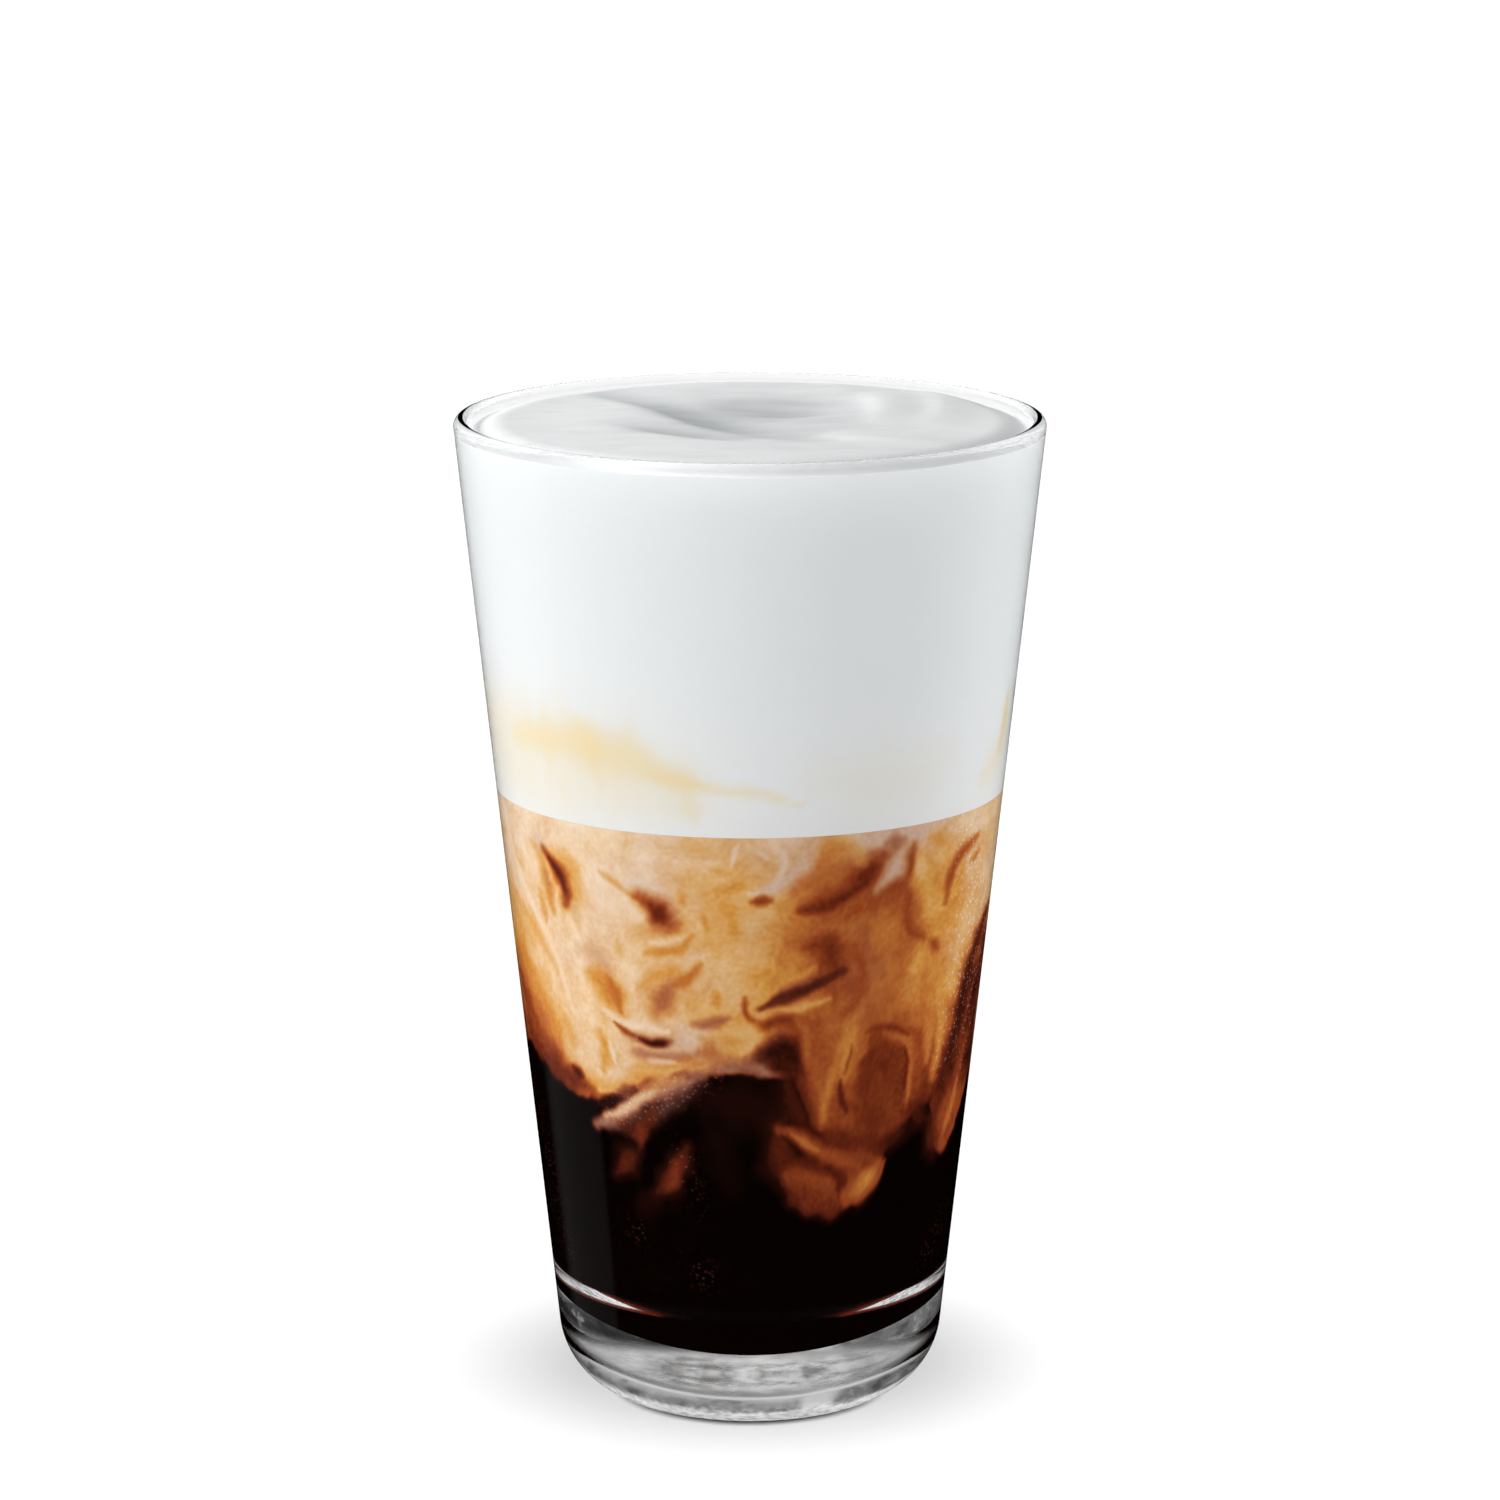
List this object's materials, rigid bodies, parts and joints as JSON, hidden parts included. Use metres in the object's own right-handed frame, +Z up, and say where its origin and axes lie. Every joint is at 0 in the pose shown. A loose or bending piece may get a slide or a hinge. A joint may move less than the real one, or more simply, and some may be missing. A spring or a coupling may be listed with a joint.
{
  "type": "iced cappuccino in a glass",
  "caption": "Tall conical drinking glass filled to the rim with dark coffee, marbled milky coffee and a thick layer of cold milk foam, stirred into a swirl.",
  "frame": {"origin": "middle of the circle that the glass stands on", "axes": "+Z up along the glass's axis of symmetry; -Y is the front, where the longest plume of milk hangs; +X is to the right"},
  "size_m": [0.0886, 0.0886, 0.1512],
  "materials": {
    "clear_glass": "clear, smooth soda-lime glass",
    "dark_coffee": "nearly black coffee with red-brown edges",
    "milky_coffee": "milk marbled through coffee, from beige over amber to red-brown",
    "milk_foam": "fine, smooth white milk foam, with a cream coffee stain low down"
  },
  "bodies": {
    "root": {"glass": "clear_glass", "dark_coffee": "dark_coffee", "milky_coffee": "milky_coffee", "milk_foam": "milk_foam"}
  },
  "joints": []
}
